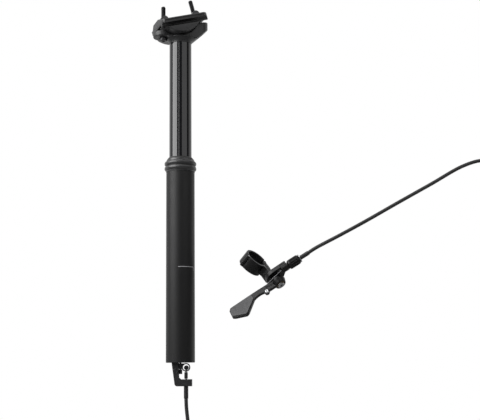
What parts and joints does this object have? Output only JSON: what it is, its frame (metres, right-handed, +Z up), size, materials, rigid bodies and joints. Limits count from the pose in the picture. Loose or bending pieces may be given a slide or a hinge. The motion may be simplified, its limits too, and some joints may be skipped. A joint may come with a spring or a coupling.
{
  "type": "dropper seatpost",
  "caption": "Telescoping bicycle seatpost with a sliding stanchion, two-bolt rail clamp, foot actuator and a cable-linked thumb remote for the handlebar.",
  "frame": {"origin": "on the post axis at the underside of the seal collar, where the frame's seat tube ends", "axes": "+Z up along the post, +X to the rear of the bicycle, +Y to the rider's left"},
  "size_m": [0.3964, 0.1595, 0.607],
  "materials": {
    "satin_black": "satin black anodised aluminium",
    "gloss_black": "glossy hard-anodised aluminium",
    "blasted_black": "bead-blasted black anodised aluminium",
    "black_rubber": "matt black rubber",
    "pad_rubber": "dark grey textured rubber",
    "polymer_bush": "bearing polymer",
    "brass": "turned brass",
    "black_steel": "black oxide steel",
    "bare_steel": "bright steel",
    "bare_aluminium": "turned aluminium",
    "remote_black": "black anodised aluminium",
    "ferrule_black": "black painted metal",
    "housing_black": "black polymer sheath"
  },
  "bodies": {
    "outer_post": {"outer_tube": "satin_black", "seal_collar": "satin_black", "wiper_seal": "black_rubber", "collar_o_ring": "black_rubber", "upper_bushing": "polymer_bush", "cartridge_rod": "bare_steel", "cartridge_piston": "bare_aluminium", "bottom_bumper": "black_rubber", "base_plug": "bare_aluminium", "base_circlip": "black_steel", "actuator_bracket": "blasted_black", "hook_pivot_pin": "black_steel", "post_ferrule": "ferrule_black", "cable_housing": "housing_black", "remote_body": "remote_black", "bar_clamp_strap": "remote_black", "strap_hinge_pin": "bare_steel", "bar_clamp_screw": "black_steel", "pivot_bolt": "bare_steel", "lever_bushing": "brass", "remote_ferrule": "ferrule_black", "remote_wire": "bare_steel"},
    "inner_post": {"stanchion": "gloss_black", "saddle_head": "blasted_black", "lower_bushing": "polymer_bush", "anti_rotation_keys": "brass", "stanchion_end_nut": "bare_aluminium", "cartridge_body": "bare_aluminium", "cartridge_gland": "bare_aluminium", "front_clamp_bolt": "black_steel", "rear_clamp_bolt": "black_steel", "bolt_washers": "black_steel"},
    "rail_clamp": {"lower_rail_clamp": "blasted_black", "upper_rail_clamp": "blasted_black"},
    "front_nut": {"front_barrel_nut": "black_steel"},
    "rear_nut": {"rear_barrel_nut": "black_steel"},
    "hook": {"hook_lever": "black_steel"},
    "pull_wire": {"cable_head": "bare_steel", "post_wire": "housing_black"},
    "release": {"release_rod": "bare_steel", "release_nut": "black_steel"},
    "lever": {"thumb_lever": "remote_black", "thumb_pad": "pad_rubber", "wire_pinch_screw": "bare_steel"},
    "adjuster": {"barrel_adjuster": "remote_black", "adjuster_ring": "bare_steel"}
  },
  "joints": [
    {"name": "post_drop", "type": "slide", "parent": "outer_post", "child": "inner_post", "axis": [0, 0, 1], "range_m": [-0.125, 0], "stiffness_N_per_m": 120, "springref_m": 0.9},
    {"name": "saddle_tilt", "type": "hinge", "parent": "inner_post", "child": "rail_clamp", "pos_m": [-0.0075, 0, 0.1828], "axis": [0, 1, 0], "range_deg": [-5, 5]},
    {"name": "front_nut_travel", "type": "slide", "parent": "inner_post", "child": "front_nut", "axis": [0, 0, 1], "range_m": [-0.0012, 0.0012]},
    {"name": "rear_nut_travel", "type": "slide", "parent": "inner_post", "child": "rear_nut", "axis": [-0.2756, 0, 0.9613], "range_m": [-0.0022, 0.0022]},
    {"name": "lever_press", "type": "hinge", "parent": "outer_post", "child": "lever", "pos_m": [0.10179, -0.03173, -0.1205], "axis": [0.2411, -0.6517, -0.7192], "range_deg": [0, 28], "stiffness_Nm_per_rad": 0.4, "springref_deg": -17.19, "deforming": ["remote_wire"]},
    {"name": "hook_swing", "type": "hinge", "parent": "outer_post", "child": "hook", "pos_m": [-0.0047, 0.00171, -0.2193], "axis": [0.342, 0.9397, 0], "range_deg": [0, 20.9]},
    {"name": "wire_pull", "type": "slide", "parent": "outer_post", "child": "pull_wire", "axis": [0, 0, -1], "range_m": [0, 0.0043]},
    {"name": "release_pull", "type": "slide", "parent": "outer_post", "child": "release", "axis": [0, 0, -1], "range_m": [0, 0.0029]},
    {"name": "adjuster_turn", "type": "hinge", "parent": "outer_post", "child": "adjuster", "pos_m": [0.11163, -0.04524, -0.10496], "axis": [0.7969, -0.29, 0.5299], "continuous": true}
  ],
  "couplings": [
    {"joint": "front_nut_travel", "follows": "saddle_tilt", "m_per_rad": 0.0128},
    {"joint": "rear_nut_travel", "follows": "saddle_tilt", "m_per_rad": -0.024},
    {"joint": "hook_swing", "follows": "lever_press", "ratio": 0.74},
    {"joint": "wire_pull", "follows": "lever_press", "m_per_rad": 0.00858},
    {"joint": "release_pull", "follows": "lever_press", "m_per_rad": 0.00563}
  ]
}
